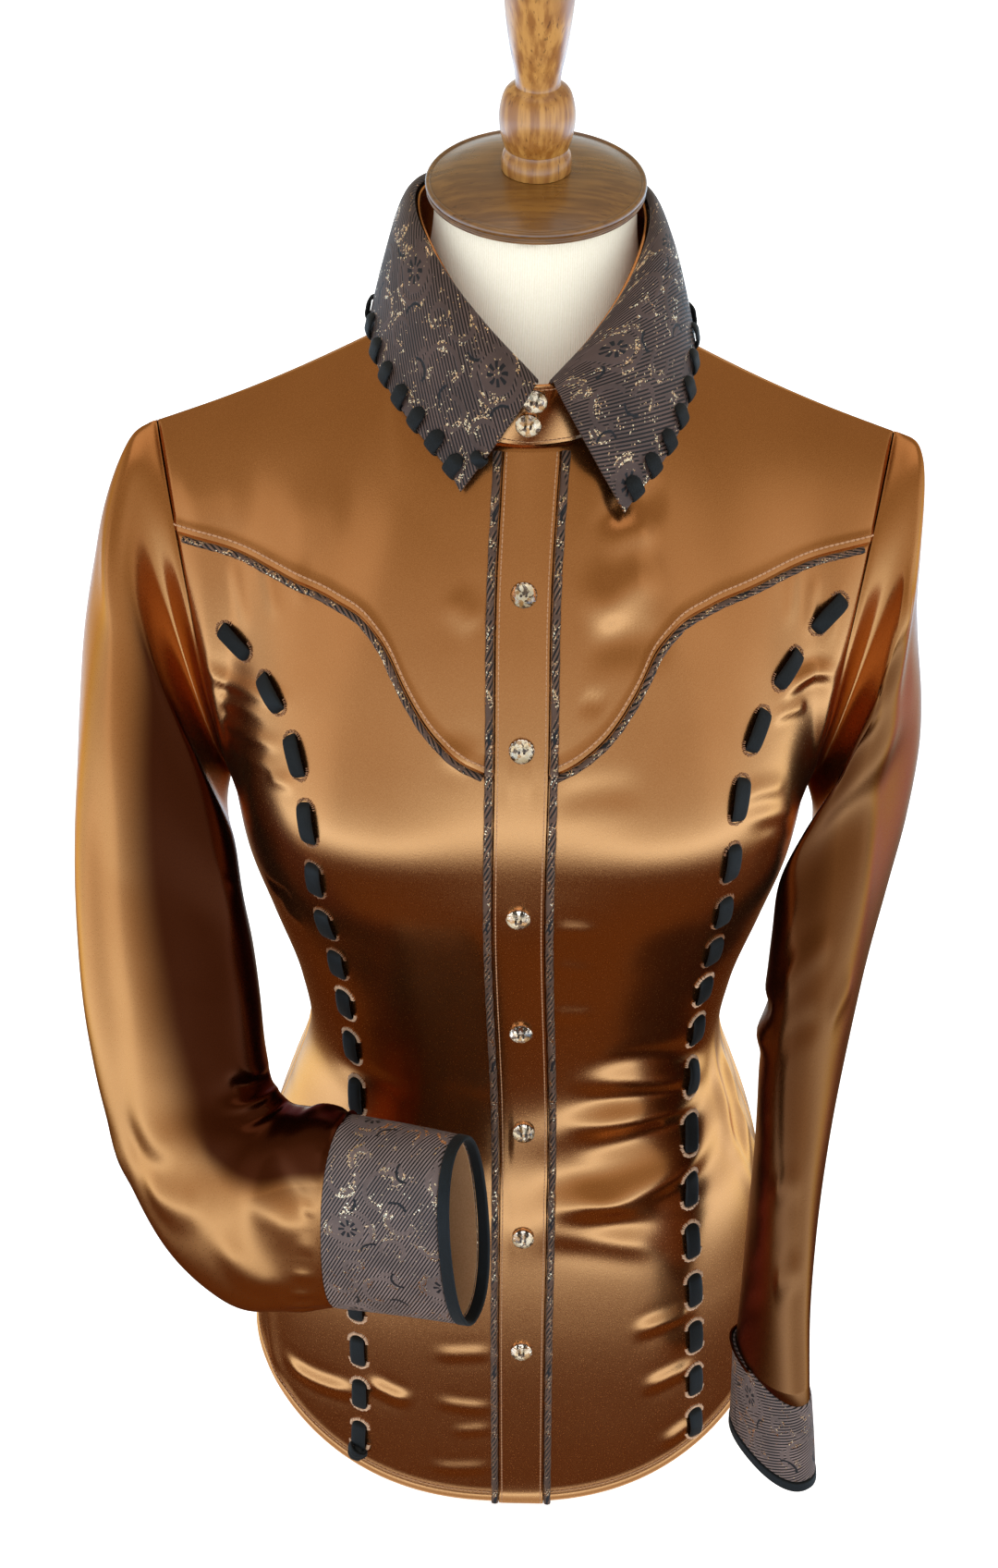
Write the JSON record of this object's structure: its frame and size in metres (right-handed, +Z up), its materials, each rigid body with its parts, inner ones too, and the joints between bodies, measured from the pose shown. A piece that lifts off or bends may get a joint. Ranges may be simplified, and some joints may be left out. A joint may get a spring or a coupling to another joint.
{
  "type": "western snap shirt on a limbless dress form",
  "caption": "Fitted long-sleeved western shirt with a laced pointed collar, curved yoke, piped button band and laced fronts, worn by a limbless dress form with a turned cap, finial and foot.",
  "frame": {"origin": "on the floor under the middle of the whole part's box", "axes": "+Z up, the shirt's front faces -Y, +X to the right of a viewer who faces the front"},
  "size_m": [0.4692, 0.3114, 0.9509],
  "materials": {
    "satin": "copper satin",
    "brocade": "ribbed brocade with metallic thread",
    "lace_leather": "matt black",
    "crystal": "faceted, clear",
    "form_cover": "cream ribbed jersey",
    "wood": "honey varnish"
  },
  "bodies": {
    "root": {"yoke_front_left": "satin", "yoke_front_right": "satin", "front_left": "satin", "front_right": "satin", "back": "satin", "sleeve_left": "satin", "sleeve_right": "satin", "cuff_facing_left": "satin", "collar_stand": "satin", "placket": "satin", "cuff_left": "brocade", "cuff_right": "brocade", "collar_leaf": "brocade", "placket_piping_left": "brocade", "placket_piping_right": "brocade", "yoke_piping_left": "brocade", "yoke_piping_right": "brocade", "cuff_binding_left": "lace_leather", "cuff_binding_right": "lace_leather", "collar_lace": "lace_leather", "front_lace_left": "lace_leather", "front_lace_right": "lace_leather", "button_1": "crystal", "button_2": "crystal", "button_3": "crystal", "button_4": "crystal", "button_5": "crystal", "button_6": "crystal", "button_7": "crystal", "collar_button_1": "crystal", "collar_button_2": "crystal", "form_torso": "form_cover", "neck_cap": "wood", "finial": "wood", "form_foot": "wood"}
  },
  "joints": []
}
